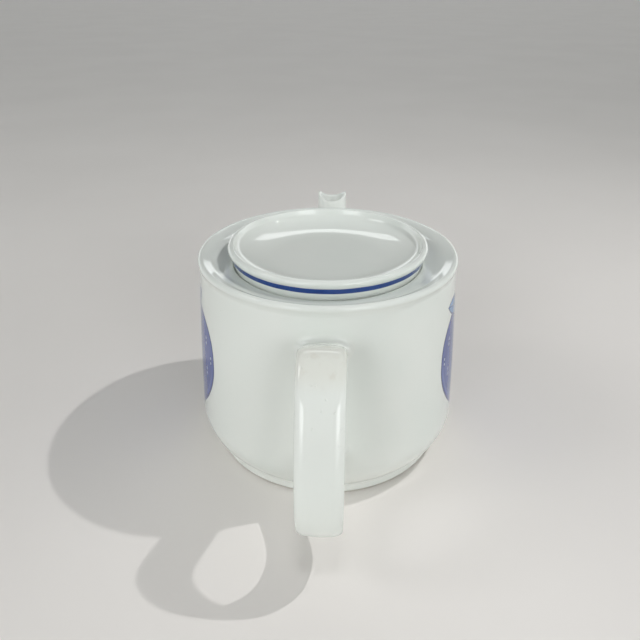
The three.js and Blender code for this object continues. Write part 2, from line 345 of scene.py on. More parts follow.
# %% Turn the gallery
lip_centre = (rim_radius - lip_radius, rim_height - lip_radius)
crease_radius, crease_height = rim_radius - 10.7, rim_height - 3.9
rebate_radius, rebate_top = crease_radius - 7.2, crease_height - 1.7
seat_height = rebate_top - 1.2
mouth_radius = rebate_radius - 3.4
ledge_bottom = seat_height - 4.0
gallery_inside = wall_radius(seam_height) - wall_thickness
lip_fillet = 8.0
fillet_x = wall_radius(lip_bottom) + lip_fillet
fillet_drop = math.sqrt((lip_radius + lip_fillet) ** 2 - (fillet_x - lip_centre[0]) ** 2)
fillet_turn = math.degrees(math.atan2(fillet_drop, fillet_x - lip_centre[0]))
fillet_centre = (fillet_x, lip_centre[1] - fillet_drop)

gallery_outline = (
    [(gallery_inside, seam_height, 0)]
    + wall_line(seam_height, fillet_centre[1], 0, 6)
    + arc(fillet_centre, (lip_fillet, lip_fillet), 180, 180 - fillet_turn, 6)[1:]
    + arc(lip_centre, (lip_radius, lip_radius), -fillet_turn, 115, 22)[1:]
    + [
        (60.6, 108.55, 9.0),
        (crease_radius, crease_height, 2.2),
        (rebate_radius, rebate_top, 0.5),
        (rebate_radius, seat_height, 0.4),
        (mouth_radius, seat_height, 0.8),
        (mouth_radius, ledge_bottom, 1.2),
        (rebate_radius, ledge_bottom, 2.5),
        (gallery_inside - 2.5, crease_height - 5.2, 2.0),
    ]
)
lug_clearance = 0.6
notch_radius = abs(lug_box[0][0]) + lug_clearance
notch_half_width = (lug_box[1][1] - lug_box[0][1]) / 2 + lug_clearance


def notch_ledge(radii, height, angles):
    """Opens the ledge's inner edge at the back, over the lug's width."""
    across = np.abs(rebate_radius * np.sin(angles))
    at_back = np.cos(angles) < 0
    open_here = at_back * np.clip((notch_half_width + 0.6 - across) / 1.2, 0, 1)
    shrink = (rebate_radius - notch_radius) / (rebate_radius - mouth_radius)
    return np.where(
        radii < rebate_radius,
        rebate_radius - (rebate_radius - radii) * (1 - (1 - shrink) * open_here),
        radii,
    )


gallery = turned("gallery_ring", rounded(gallery_outline), segments=512, reshape=notch_ledge)

# %% [markdown]
# ## The foot ring
#
# The pot stands on a low ring. Its flat land is wiped clean of glaze before firing, because a
# glazed foot would stick to the kiln shelf. Outside, the heel runs into the ring in a soft crease.

# %% Turn the foot ring
foot_radius = heel_radius - 7.6
crease_radius, crease_height = foot_radius + 0.1, foot_height - 3.4
seam_radius = heel_centre[0] + heel_radii[0] * math.cos(math.radians(heel_start))
crease = (seam_radius - crease_radius) / (1 - math.cos(math.radians(heel_start)))
crease_lift = (foot_height - crease_height) / math.sin(math.radians(heel_start))
foot_outline = (
    arc((crease_radius + crease, crease_height), (crease, crease_lift), 180 - heel_start, 180, 8)
    + [
        (foot_radius - 0.2, 0.0, 1.5),
        (foot_radius - 3.9, 0.0, 0.7),
        (foot_radius - 5.4, foot_height - 1.6, 0),
    ]
    + arc((foot_radius - 7.0, foot_height - 1.7), (1.6, 1.6), 6, 78, 7)
    + [(foot_radius - 6.8, foot_height, 0)]
)
foot = turned("foot_ring_glazed", rounded(foot_outline))

# %% [markdown]
# ## The lid
#
# The lid is a shallow dish. Its outer wall leans out to a rounded bead, the dish drops in a long
# curve to an almost flat floor, and a flange below keeps it centred in the pot's mouth. A lug on
# the flange catches under the ledge so that the lid stays on while pouring.

# %% Turn the lid's dish and flange
bead = 2.0
lid_base = dish_box[1][2] - 11.2
lid_underside = dish_box[0][2]
bead_centre = (lid_radius - bead, lid_top - bead)
dish_floor = lid_top - 9.0
flange_inner = 42.0
lid_base_radius = lid_radius - 2.9

dish_outline = (
    [
        (0, lid_underside, 0),
        (flange_inner - 2, lid_underside, 1.0),
        (flange_inner - 0.6, lid_base, 0.8),
        (lid_base_radius, lid_base, 0.7),
        (lid_base_radius + 1.65, lid_base + 6.0, 20.0),
        (lid_radius - 0.75, lid_top - 3.6, 1.2),
    ]
    + arc(bead_centre, (bead, bead), -38, 118, 20)
    + arc((27.0, dish_floor + 8.0), (bead_centre[0] - 27.0 - 1.55, 8.0), -6, -90, 26)
    + [(14.0, dish_floor - 0.2, 0), (0, dish_floor - 0.3, 0)]
)
lid_dish = turned("lid_dish_turned", rounded(dish_outline, closed=False))

flange_low = flange_box[0][2]
flange_radius = flange_box[1][0]
flange_outline = [
    (flange_inner, flange_low, 1.4),
    (flange_radius, flange_low, 1.6),
    (flange_radius, lid_base, 0),
    (flange_inner, lid_base, 0),
]
flange = turned("lid_flange_turned", rounded(flange_outline))

# %% Shape the lug
lug_rise = lug_box[1][2] - lug_box[0][2]
lug_middle = (lug_box[1][2] + lug_box[0][2]) / 2
lug_out = abs(lug_box[0][0])
lug_half_width = (lug_box[1][1] - lug_box[0][1]) / 2


def lug_piece():
    """A pad of clay on the flange, rounded at its edges and ends."""
    stations, around = 25, 36
    points, rings = [], []
    for k in range(stations):
        t = -math.cos(math.pi * k / (stations - 1))
        swell = max(1 - abs(t) ** 5, 0.0) ** 0.4
        start = len(points)
        inner = flange_radius - 0.4
        out = inner + (lug_out - inner) * (0.15 + 0.85 * swell)
        angle = t * lug_half_width / lug_out
        if k in (0, stations - 1):
            points.append((-inner * math.cos(angle), inner * math.sin(angle), lug_middle))
        else:
            for i in range(around):
                a = 2 * math.pi * i / around
                cx, cz = math.cos(a), math.sin(a)
                radius = (out + inner) / 2 + (out - inner) / 2 * math.copysign(abs(cx) ** 0.55, cx)
                thick = lug_rise / 2 * (0.3 + 0.7 * swell)
                height = lug_middle + thick * math.copysign(abs(cz) ** 0.55, cz)
                points.append((-radius * math.cos(angle), radius * math.sin(angle), height))
        rings.append(range(start, len(points)))
    faces = []
    for a, b in zip(rings, rings[1:]):
        faces += ring_faces(a, b, around)
    piece = mesh_piece("lid_lug_pad", points, faces, 50)
    face_outwards(piece)
    return piece


lug = lug_piece()

# %% [markdown]
# ## Swept pieces
#
# The handle and the spout follow a line in the plane through the pot's axis. A section is carried
# along the line, and near the pot's wall it spreads out in a fillet, as slip does when the potter
# runs a wet brush round the joint. Each strip of the sweep is followed to the exact point where it
# meets the wall, so the root fits the round pot without a gap.

# %% Lines and sections
def along(line, samples=1200):
    """Evenly spaced points and directions along a dense line of (x, z) points."""
    line = np.array(line, float)
    steps = np.linalg.norm(np.diff(line, axis=0), axis=1)
    length = np.concatenate([[0], np.cumsum(steps)])
    even = np.linspace(0, length[-1], samples)
    points = np.stack([np.interp(even, length, line[:, k]) for k in range(2)], axis=1)
    directions = np.gradient(points, axis=0)
    directions /= np.linalg.norm(directions, axis=1)[:, None]
    return points, directions, length[-1]


def smooth_line(points, passes):
    """Irons out small changes of bend while the ends stay where they are."""
    points = points.copy()
    for _ in range(passes):
        points[1:-1] += 0.25 * (points[:-2] - 2 * points[1:-1] + points[2:])
    return points


def fillet_spread(distance, size):
    """How far a fillet stands out at a distance from the wall."""
    near = np.clip(1 - distance / size, 0, 1)
    return size * (1 - np.sqrt(np.clip(1 - near**2, 0, 1)))


def spread_on_wall(points, outward, size):
    """Moves points sideways, along the wall, so that they end in a fillet on it."""
    x, y, z = points[..., 0], points[..., 1], points[..., 2]
    reach = np.hypot(x, y)
    off_wall = reach - wall_radius(z)
    tangent = (-y * outward[..., 0] + x * outward[..., 1]) / reach
    upright = outward[..., 2]
    norm = np.maximum(np.hypot(tangent, upright), 1e-6)
    spread = fillet_spread(np.maximum(off_wall, 0), size)
    angle = np.arctan2(y, x) + spread * tangent / norm / reach
    z = z + spread * upright / norm
    reach = wall_radius(z) + off_wall
    return np.stack([reach * np.cos(angle), reach * np.sin(angle), z], axis=-1)


def oval_section(columns):
    """An oval: sideways and depth directions for each column."""
    angles = np.arange(columns) * 2 * np.pi / columns

    def shape(wide, deep):
        side, depth = wide * np.cos(angles), deep * np.sin(angles)
        out_side, out_depth = np.cos(angles) / wide, np.sin(angles) / deep
        size = np.hypot(out_side, out_depth)
        return side, depth, out_side / size, out_depth / size

    return shape


def strap_section(corner_depth, crown, flat_steps=18, corner_steps=14):
    """A flat strap with round edges: flats that bow out by `crown` joined by round corners."""
    turns, slides, faces = [], [], []
    for face, start in ((1, 0.0), (1, 90.0), (-1, 180.0), (-1, 270.0)):
        slide_from = 1.0 if start in (0.0, 270.0) else -1.0
        for step in range(corner_steps):
            turns.append(start + 90.0 * step / corner_steps)
            slides.append(slide_from)
            faces.append(face)
        if start in (0.0, 180.0):
            for step in range(flat_steps):
                turns.append(start + 90.0)
                slides.append(slide_from * (1 - 2 * step / flat_steps))
                faces.append(face)
    turns, slides, faces = np.radians(turns), np.array(slides), np.array(faces)

    def shape(wide, deep, corner_width):
        side = slides * (wide - corner_width) + corner_width * np.cos(turns)
        corner = deep * corner_depth
        depth = faces * (deep - corner - crown * slides**2) + corner * np.sin(turns)
        out_side, out_depth = np.cos(turns) * corner, np.sin(turns) * corner_width
        size = np.hypot(out_side, out_depth)
        return side, depth, out_side / size, out_depth / size

    return shape, len(turns)


class Sweep:
    """A section carried along a line in the XZ plane."""

    def __init__(self, line, half_sizes, shape, columns):
        self.points, self.directions, self.length = along(line)
        self.t = np.linspace(0, 1, len(self.points))
        self.half_sizes, self.shape, self.columns = half_sizes, shape, columns

    def at(self, t):
        """Points and outward directions for each column, at t per column."""
        centre = [np.interp(t, self.t, self.points[:, k]) for k in range(2)]
        lead = [np.interp(t, self.t, self.directions[:, k]) for k in range(2)]
        side, depth, out_side, out_depth = self.shape(*self.half_sizes(t))
        points = np.stack([centre[0] - lead[1] * depth, side, centre[1] + lead[0] * depth], axis=-1)
        outward = np.stack([-lead[1] * out_depth, out_side, lead[0] * out_depth], axis=-1)
        return points, outward

    def meets(self, surface, low, high):
        """Where each strip first crosses a surface, between two places on the line."""
        low = np.full(self.columns, float(low))
        high = np.full(self.columns, float(high))
        sign = np.sign(surface(self.at(low)[0]))
        for _ in range(40):
            middle = (low + high) / 2
            same = np.sign(surface(self.at(middle)[0])) == sign
            low, high = np.where(same, middle, low), np.where(same, high, middle)
        return (low + high) / 2


def off_wall_by(distance):
    return lambda at: np.hypot(at[:, 0], at[:, 1]) - wall_radius(at[:, 2]) - distance


def root_distances(size, steps=9):
    """Distances from the wall at which a fillet is drawn, closest together at its foot."""
    return [size * (1 - math.cos(a)) for a in np.linspace(0, math.pi / 2, steps + 1)]


def sweep_piece(name, rows, ends):
    """A closed piece from rows of points. `ends` is 'caps' or 'loop'."""
    count = len(rows[0])
    points = np.concatenate(rows)
    rings = [range(i * count, (i + 1) * count) for i in range(len(rows))]
    faces = []
    for a, b in zip(rings, rings[1:]):
        faces += ring_faces(a, b, count)
    if ends == "loop":
        faces += ring_faces(rings[-1], rings[0], count)
    else:
        faces += [tuple(rings[0])[::-1], tuple(rings[-1])]
    piece = mesh_piece(name, points, faces, 50)
    face_outwards(piece)
    return piece


# %% [markdown]
# ## The handle
#
# The handle is a strap with a flat outer face and rounded edges. It leaves the wall a little below
# the rim, rises slightly, loops out and returns above the heel.

# %% Sweep the handle
strap_half = 2.9
strap_reach = abs(handle_box[0][0]) - strap_half
strap_top = rim_height - 21.7
strap_crown = strap_top + 9.8
strap_lowest, strap_return, strap_widest = 22.3, 35.5, 46.0


def out(share):
    """Distance from the axis, from the wall (0) to the widest point of the loop (1)."""
    return heel_radius + (strap_reach - heel_radius) * share


strap_knots = [
    (wall_radius(strap_top) - 10, strap_top - 2.4),
    (wall_radius(strap_top) + 4, strap_top + 2.4),
    (out(0.34), strap_crown),
    (out(0.62), strap_crown - 9.5),
    (out(0.87), (strap_crown + strap_widest) / 2 - 3),
    (strap_reach, strap_widest),
    (out(0.9), strap_lowest + 5),
    (out(0.62), strap_lowest),
    (out(0.34), (strap_lowest + strap_return) / 2 - 2.4),
    (wall_radius(strap_return) + 4, strap_return - 2.4),
    (wall_radius(strap_return) - 10, strap_return + 2.4),
]


def smoothstep(t, low, high):
    t = np.clip((t - low) / (high - low), 0, 1)
    return t * t * (3 - 2 * t)


def curve_through(knots, per_span=60):
    """A smooth curve through its knots (centripetal Catmull-Rom)."""
    knots = [np.array(k, float) for k in knots]
    knots = [2 * knots[0] - knots[1]] + knots + [2 * knots[-1] - knots[-2]]
    line = []
    for p0, p1, p2, p3 in zip(knots, knots[1:], knots[2:], knots[3:]):
        t0 = 0.0
        t1 = t0 + math.sqrt(np.linalg.norm(p1 - p0))
        t2 = t1 + math.sqrt(np.linalg.norm(p2 - p1))
        t3 = t2 + math.sqrt(np.linalg.norm(p3 - p2))
        for t in np.linspace(t1, t2, per_span, endpoint=False):
            a1 = (t1 - t) / (t1 - t0) * p0 + (t - t0) / (t1 - t0) * p1
            a2 = (t2 - t) / (t2 - t1) * p1 + (t - t1) / (t2 - t1) * p2
            a3 = (t3 - t) / (t3 - t2) * p2 + (t - t2) / (t3 - t2) * p3
            b1 = (t2 - t) / (t2 - t0) * a1 + (t - t0) / (t2 - t0) * a2
            b2 = (t3 - t) / (t3 - t1) * a2 + (t - t1) / (t3 - t1) * a3
            line.append((t2 - t) / (t2 - t1) * b1 + (t - t1) / (t2 - t1) * b2)
    line.append(knots[-2])
    return np.array(line)


def strap_sizes(t):
    """Half width, half thickness and width of the rounded edges; almost oval at the roots."""
    half_width = (21.6 + (19.8 - 21.6) * t) / 2
    root = 1 - smoothstep(np.minimum(t, (1 - t) * 0.8), 0.0, 0.17)
    return half_width, strap_half + 1.0 * root, 5.2 + (half_width - 1.5 - 5.2) * root


strap_fillet = 3.6
strap_line = curve_through([(-x, z) for x, z in strap_knots])
strap_line = smooth_line(along(strap_line, 600)[0], 160)
strap = Sweep(strap_line, strap_sizes, *strap_section(corner_depth=0.9, crown=0.25))
rows = []


def add_row(sweep, t, fillet):
    """Adds the section at `t`, spread on the wall as a fillet of that size."""
    rows.append(spread_on_wall(*sweep.at(t), fillet))


def print_size(name):
    points = np.array(rows).reshape(-1, 3)
    print(name, points.min(0).round(1), points.max(0).round(1))


middle_start = strap.meets(off_wall_by(strap_fillet), 0.0, 0.3)
middle_end = strap.meets(off_wall_by(strap_fillet), 1.0, 0.7)
for distance in root_distances(strap_fillet)[:-1]:
    add_row(strap, strap.meets(off_wall_by(distance), 0.0, 0.3), strap_fillet)
for part in np.linspace(0, 1, 150):
    add_row(strap, middle_start + (middle_end - middle_start) * part, strap_fillet)
for distance in reversed(root_distances(strap_fillet)[:-1]):
    add_row(strap, strap.meets(off_wall_by(distance), 1.0, 0.7), strap_fillet)
handle = sweep_piece("handle_strap", rows, "caps")
print_size("handle")

# %% [markdown]
# ## The spout
#
# The spout leaves the wall low and wide, bends upwards and ends in a mouth that dips between two
# corners, so that it pours in a narrow stream. The same sweep is used outside and inside, and a
# half-round lip joins the two at the mouth.

# %% Sweep the spout
spout_reach = spout_box[1][0]
mouth_top = rim_height - 5.4
mouth_low = mouth_top - 4.0
mouth_centre = spout_reach - 6.5
lip_wall = 2.0
trough_radius = (9.4**2 + 4.0**2) / (2 * 4.0)
controls = np.array([
    (wall_radius(spout_root_height) - 10, spout_root_height - 2),
    (mouth_centre - 20, spout_root_height + 2),
    (mouth_centre - 14, mouth_low - 22),
    (mouth_centre + 4, mouth_top + 8),
])
steps = np.linspace(0, 1, 400)[:, None]
spout_line = (
    (1 - steps) ** 3 * controls[0]
    + 3 * (1 - steps) ** 2 * steps * controls[1]
    + 3 * (1 - steps) * steps**2 * controls[2]
    + steps**3 * controls[3]
)


def spout_sizes(wall, thin_wall):
    def sizes(t):
        root = (1 - t) ** 1.6
        lip = smoothstep(t, 0.7, 0.95)
        inset = wall + (thin_wall - wall) * lip
        neck = 8.6 + (9.4 - 8.6) * lip
        return neck + (16.0 - neck) * root - inset, 7.2 + (22.0 - 7.2) * root - inset

    return sizes


def above_mouth(points):
    """Height above the trough-shaped mouth."""
    side = np.clip(np.abs(points[:, 1]), 0, trough_radius * 0.98)
    return points[:, 2] - (mouth_low + trough_radius - np.sqrt(trough_radius**2 - side**2))


spout_fillet = 4.0
outside = Sweep(spout_line, spout_sizes(0.0, 0.0), oval_section(96), 96)
inside = Sweep(spout_line, spout_sizes(3.0, lip_wall), oval_section(96), 96)
lip_run = lip_wall / 2 / outside.length
outer_end = outside.meets(above_mouth, 0.6, 1.0) - lip_run
inner_end = inside.meets(above_mouth, 0.6, 1.0) - lip_run
rows = []
outer_start = outside.meets(off_wall_by(spout_fillet), 0.0, 0.5)
for distance in root_distances(spout_fillet)[:-1]:
    add_row(outside, outside.meets(off_wall_by(distance), 0.0, 0.5), spout_fillet)
for part in np.linspace(0, 1, 70):
    add_row(outside, outer_start + (outer_end - outer_start) * part, spout_fillet)
lip_outer, lip_inner = outside.at(outer_end)[0], inside.at(inner_end)[0]
lead = [np.interp(outer_end, outside.t, outside.directions[:, k]) for k in range(2)]
lead = np.stack(lead, axis=1)
lead = np.stack([lead[:, 0], np.zeros(len(lead)), lead[:, 1]], axis=1)
for a in np.linspace(0, math.pi, 11)[1:-1]:
    centre, arm = (lip_outer + lip_inner) / 2, (lip_outer - lip_inner) / 2
    thickness = np.linalg.norm(arm, axis=1)[:, None]
    rows.append(centre + arm * math.cos(a) + lead * thickness * math.sin(a))
inner_start = inside.meets(off_wall_by(0.0), 0.0, 0.5)
for part in np.linspace(1, 0, 60):
    rows.append(inside.at(inner_start + (inner_end - inner_start) * part)[0])
spout = sweep_piece("spout_poured", rows, "loop")
print_size("spout")

# %% [markdown]
# ## Writing finishes as sums
#
# A finish is a recipe of small calculations on the point being shaded. `Finish` holds one material
# and has one method, `node`, that adds any node. `Amount` wraps an output, and ordinary Python
# arithmetic on amounts adds the Math nodes, so a mask can be written the way it is said.

# %% The finish maker
class Amount:
    """One output of a node. Arithmetic on it adds Math nodes."""

    def __init__(self, finish, socket):
        self.finish, self.socket = finish, socket

    def math(self, operation, *others):
        sockets = {i: value for i, value in enumerate((self,) + others)}
        return self.finish.node("ShaderNodeMath", {"operation": operation}, sockets)

    def __add__(self, other):
        return self.math("ADD", other)

    __radd__ = __add__

    def __sub__(self, other):
        return self.math("SUBTRACT", other)

    def __rsub__(self, other):
        return self.finish.node("ShaderNodeMath", {"operation": "SUBTRACT"}, {0: other, 1: self})

    def __mul__(self, other):
        return self.math("MULTIPLY", other)

    __rmul__ = __mul__

    def __truediv__(self, other):
        return self.math("DIVIDE", other)

    def __pow__(self, other):
        return self.math("POWER", other)

    def __abs__(self):
        return self.math("ABSOLUTE")

    def most(self, other):
        return self.math("MAXIMUM", other)

    def between(self, low, high):
        """0 below low, 1 above high, and a soft step between them."""
        settings = {"interpolation_type": "SMOOTHSTEP"}
        sockets = {0: self, 1: low, 2: high, 3: 0.0, 4: 1.0}
        return self.finish.node("ShaderNodeMapRange", settings, sockets)


class Finish:
    """One material, or the room's backdrop, built node by node."""

    def __init__(self, name, owner=None):
        self.material = owner or bpy.data.materials.new(name)
        self.material.use_nodes = True
        self.tree = self.material.node_tree
        self.tree.nodes.clear()

    def node(self, kind, settings, sockets, output=0):
        made = self.tree.nodes.new(kind)
        for name, value in settings.items():
            setattr(made, name, value)
        for name, value in sockets.items():
            if isinstance(value, Amount):
                self.tree.links.new(value.socket, made.inputs[name])
            else:
                made.inputs[name].default_value = value
        return Amount(self, made.outputs[output]) if made.outputs else None

    def mix(self, factor, first, second, blend="MIX"):
        """A colour between two colours, or their product."""
        settings = {"data_type": "RGBA", "blend_type": blend}
        return self.node("ShaderNodeMix", settings, {0: factor, 6: first, 7: second}, 2)

    def done(self, shader, kind="ShaderNodeOutputMaterial"):
        self.node(kind, {}, {"Surface": shader})
        print(f"{self.material.name}: {len(self.tree.nodes)} nodes")
        return self.material


def colour(red, green, blue):
    """A colour as paint charts give it, 0 to 255, turned into light values."""
    parts = (red, green, blue)
    light = [((c / 255 + 0.055) / 1.055) ** 2.4 if c > 10 else c / 3294.6 for c in parts]
    return (*light, 1.0)


# %% [markdown]
# ## The glaze
#
# A clear feldspar glaze over white porcelain is almost a mirror, with three faults that make it
# look real: a faint ripple like orange peel, a faint cast where the glaze is thicker, and a few
# pinholes and dark specks from the kiln. All three are worked out from the piece's own
# coordinates, so they stay in place from every side.

# %% Glaze parts
def place_of(finish):
    """The point on the piece, and its x, y and height, in millimetres."""
    point = finish.node("ShaderNodeTexCoord", {}, {}, "Object")
    sockets = {0: point, "Scale": 1 / MM}
    scaled = finish.node("ShaderNodeVectorMath", {"operation": "SCALE"}, sockets)
    split = finish.node("ShaderNodeSeparateXYZ", {}, {0: scaled})
    axes = [Amount(finish, split.socket.node.outputs[i]) for i in range(3)]
    return scaled, axes


def clouds(finish, point, size, detail=2.0):
    """Soft noise from 0 to 1 whose patches are about `size` millimetres across."""
    sockets = {"Vector": point, "Scale": 1.0 / size, "Detail": detail, "Roughness": 0.5}
    return finish.node("ShaderNodeTexNoise", {"noise_dimensions": "3D"}, sockets, 0)


def specks(finish, point, spacing, size, share):
    """1 inside small dots: one dot in each cell of `spacing`, in a `share` of the cells."""
    sockets = {"Vector": point, "Scale": 1.0 / spacing, "Randomness": 1.0}
    cells = finish.node("ShaderNodeTexVoronoi", {"feature": "F1"}, sockets, "Distance")
    pick = cells.socket.node.outputs["Color"]
    chance = finish.node("ShaderNodeSeparateColor", {}, {0: Amount(finish, pick)})
    dot = 1.0 - (cells * spacing).between(size * 0.5, size)
    return dot * (1.0 - chance.between(share, share + 0.001))


def bumped(finish, relief):
    """A relief in millimetres as a shading normal."""
    sockets = {"Strength": 1.0, "Distance": MM, "Height": relief}
    return finish.node("ShaderNodeBump", {}, sockets, 0)


def reach_of(axes):
    """Distance from the pot's axis."""
    return (axes[0] * axes[0] + axes[1] * axes[1]) ** 0.5


glaze_ior = 1.52
porcelain_white = colour(230, 233, 228)
porcelain_thick = colour(219, 226, 221)
kiln_speck = colour(120, 118, 108)
green_cast = (0.965, 0.985, 0.975, 1.0)


def white_porcelain(finish, point):
    """White with slow, faint changes where the glaze lies thicker."""
    thick = clouds(finish, point, 60.0).between(0.35, 0.65)
    return finish.mix(thick * 0.3, porcelain_white, porcelain_thick)


def glazed(finish, point, base, droplets=None):
    """Glaze over a base colour: returns the shader. `droplets` adds raised beads of glaze."""
    drift = clouds(finish, point, 45.0).between(0.3, 0.7)
    body = finish.mix(drift * 0.35, base, finish.mix(1.0, base, green_cast, "MULTIPLY"))
    dark = specks(finish, point, 16.0, 0.42, 0.16)
    body = finish.mix(dark * 0.75, body, kiln_speck)
    pinholes = specks(finish, point, 7.0, 0.5, 0.1)
    ripple = clouds(finish, point, 5.0, 1.0) * 0.010 + clouds(finish, point, 16.0, 1.0) * 0.035
    relief = ripple - pinholes * 0.05 + dark * 0.02
    if droplets is not None:
        relief = relief + droplets * 0.12
    bump = bumped(finish, relief)
    sheen = clouds(finish, point, 22.0) * 0.03 + 0.025
    return finish.node(
        "ShaderNodeBsdfPrincipled",
        {},
        {"Base Color": body, "Roughness": sheen, "IOR": glaze_ior, "Normal": bump},
    )


# %% [markdown]
# ## The printed berry
#
# Each side of the pot carries a transfer print: one large blue berry with a leafy crown. A transfer
# is printed flat and wrapped round the wall, so it is drawn here in distance round the wall and
# height. The berry is one curved outline, wide above and narrow below, filled with a soft blue and
# edged with a dark keyline, and dotted with pairs of pale seeds. An outline is kept as the distance
# inside it, so one number gives the fill, the keyline and the paler glow beside it.

# %% Flatten the wall for the print
print_radius = 70.0
print_shift = 2.2


def flat_print(axes):
    """Distance round the wall from the middle of each print, and height."""
    x, y, height = axes
    half_turns = (y.math("ARCTAN2", x) / math.pi + 2.0).math("FRACT")
    return (half_turns - 0.5) * (math.pi * print_radius) - print_shift, height


# %% The berry and its leaves
berry_half_width, berry_shoulder = 41.6, 61.0
berry_rise, berry_drop = 30.0, 45.5
round_top, round_tip, round_side = 2.6, 1.93, 1.15


def berry_inside(across, height):
    """Roughly how far a point lies inside the berry's outline, in millimetres."""
    span = (abs(across) / berry_half_width).most(0.01)
    up = ((height - berry_shoulder) / berry_rise).most(0.001)
    down = ((berry_shoulder - height) / berry_drop).most(0.001)
    top_side, top_rise = span ** (round_top - 1), up ** (round_top - 1)
    tip_side, tip_drop = span ** (round_side - 1), down ** (round_tip - 1)
    top = 1.0 - top_side * span - top_rise * up
    tip = 1.0 - tip_side * span - tip_drop * down
    steep_top = (top_side * (round_top / berry_half_width)) ** 2.0
    steep_top = steep_top + (top_rise * (round_top / berry_rise)) ** 2.0
    steep_tip = (tip_side * (round_side / berry_half_width)) ** 2.0
    steep_tip = steep_tip + (tip_drop * (round_tip / berry_drop)) ** 2.0
    above = height.math("GREATER_THAN", berry_shoulder)
    return above * top / steep_top**0.5 + (1.0 - above) * tip / steep_tip**0.5


def leaf_inside(across, height, base, tip, half_width):
    """How far a point lies inside a leaf that is pointed at both ends, and how far from its rib."""
    length = math.dist(base, tip)
    lead = ((tip[0] - base[0]) / length, (tip[1] - base[1]) / length)
    along_leaf = ((across - base[0]) * lead[0] + (height - base[1]) * lead[1]) / length
    off_rib = abs((height - base[1]) * lead[0] - (across - base[0]) * lead[1])
    swell = (along_leaf * (1.0 - along_leaf) * 4.0).most(-0.5)
    return swell * half_width - off_rib, off_rib


crown_leaves = [
    ((-3.0, 89.0), (-15.0, 74.0), 4.6),
    ((4.0, 89.0), (17.0, 73.0), 4.8),
    ((0.0, 89.0), (1.5, 70.0), 4.6),
    ((-4.0, 87.0), (-13.0, 97.6), 4.2),
    ((1.0, 87.0), (4.5, 97.8), 3.8),
    ((-7.0, 86.5), (-34.5, 92.6), 5.6),
    ((7.0, 84.5), (23.0, 98.0), 5.6),
]

# %% Seeds, in staggered pairs
seed_row, seed_column = 9.0, 12.5


def seed_distance(across, height):
    """0 in the middle of a seed and 1 at its edge."""
    row = (height - 14.0) / seed_row
    shift = (row.math("FLOOR") * 0.5).math("FRACT") * seed_column
    beside = ((across + shift + 125.0) / seed_column).math("FRACT") * seed_column - seed_column / 2
    above = row.math("FRACT") * seed_row - seed_row / 2
    return ((beside / 0.7) ** 2.0 + ((abs(above) - 1.5) / 0.95) ** 2.0) ** 0.5


# %% Put the print together
berry_fill, berry_pale = colour(84, 95, 152), colour(112, 126, 180)
berry_line, seed_pale = colour(50, 62, 110), colour(190, 202, 226)
leaf_fill, leaf_pale = colour(112, 145, 186), colour(140, 166, 200)


def berry_print(finish, point, axes, base):
    """The base colour with the two berries printed on it."""
    across, height = flat_print(axes)
    inside = berry_inside(across, height)
    keyline = 1.0 - inside.between(0.65, 1.0)
    glow = inside.between(1.6, 2.2) * (1.0 - inside.between(2.6, 4.5))
    glow = glow * (1.0 - height.between(50.0, 66.0))
    shade = clouds(finish, point, 14.0, 3.0).between(0.3, 0.75)
    fill = finish.mix(shade * 0.3 + glow * 0.45, berry_fill, berry_pale)
    seed, seeded = seed_distance(across, height), inside.between(3.0, 3.6)
    fill = finish.mix((1.0 - seed.between(1.3, 1.8)) * seeded * 0.5, fill, berry_line)
    fill = finish.mix((1.0 - seed.between(0.7, 1.05)) * seeded * 0.8, fill, seed_pale)
    fill = finish.mix(keyline, fill, berry_line)
    printed = finish.mix(inside.between(-0.12, 0.12), base, fill)
    leaf_shade = finish.mix(shade, leaf_fill, leaf_pale)
    for leaf_base, tip, half_width in crown_leaves:
        leaf, off_rib = leaf_inside(across, height, leaf_base, tip, half_width)
        drawn = (1.0 - leaf.between(0.55, 0.85)).most((1.0 - off_rib.between(0.15, 0.4)) * 0.6)
        leaf_colour = finish.mix(drawn, leaf_shade, berry_line)
        printed = finish.mix(leaf.between(-0.12, 0.12), printed, leaf_colour)
    return printed


# %% [markdown]
# ## One finish for each kind of surface
#
# Every casting goes through the same glaze, so the finishes differ little. The wall carries the
# print on its outer face and the lid a banded blue line. The foot is wiped bare where it stands.
# On the handle the glaze ran a little into small beads, and its top is painted a little darker and
# warmer.

# %% Make the finishes
def pot_glaze():
    finish = Finish("pot_glaze")
    point, axes = place_of(finish)
    white = white_porcelain(finish, point)
    return finish.done(glazed(finish, point, white))


def wall_glaze():
    """White inside, printed outside: the middle of the wall parts the two."""
    finish = Finish("wall_glaze_with_berry")
    point, axes = place_of(finish)
    white = white_porcelain(finish, point)
    reach = reach_of(axes)
    wall_lean = (wall_radius(seam_height) - wall_radius(heel_height)) / (seam_height - heel_height)
    middle = (axes[2] - heel_height) * wall_lean + wall_radius(heel_height) - wall_thickness / 2
    outside_face = (reach - middle).between(-0.3, 0.3)
    printed = finish.mix(outside_face, white, berry_print(finish, point, axes, white))
    return finish.done(glazed(finish, point, printed))


line_low, line_high = lid_top - 6.7, lid_top - 3.9
line_edge = 0.12


def lid_glaze():
    finish = Finish("lid_glaze_with_line")
    point, axes = place_of(finish)
    white = white_porcelain(finish, point)
    reach = reach_of(axes)
    wobble = (clouds(finish, point, 12.0, 1.0) - 0.5) * 0.3
    height = axes[2] + wobble
    band = height.between(line_low - line_edge, line_low + line_edge)
    band = band * (1.0 - height.between(line_high - line_edge, line_high + line_edge))
    band = band * reach.between(lid_radius - 2.6, lid_radius - 2.4)
    blue = finish.mix(clouds(finish, point, 4.0, 3.0), colour(20, 54, 122), colour(32, 72, 146))
    return finish.done(glazed(finish, point, finish.mix(band, white, blue)))


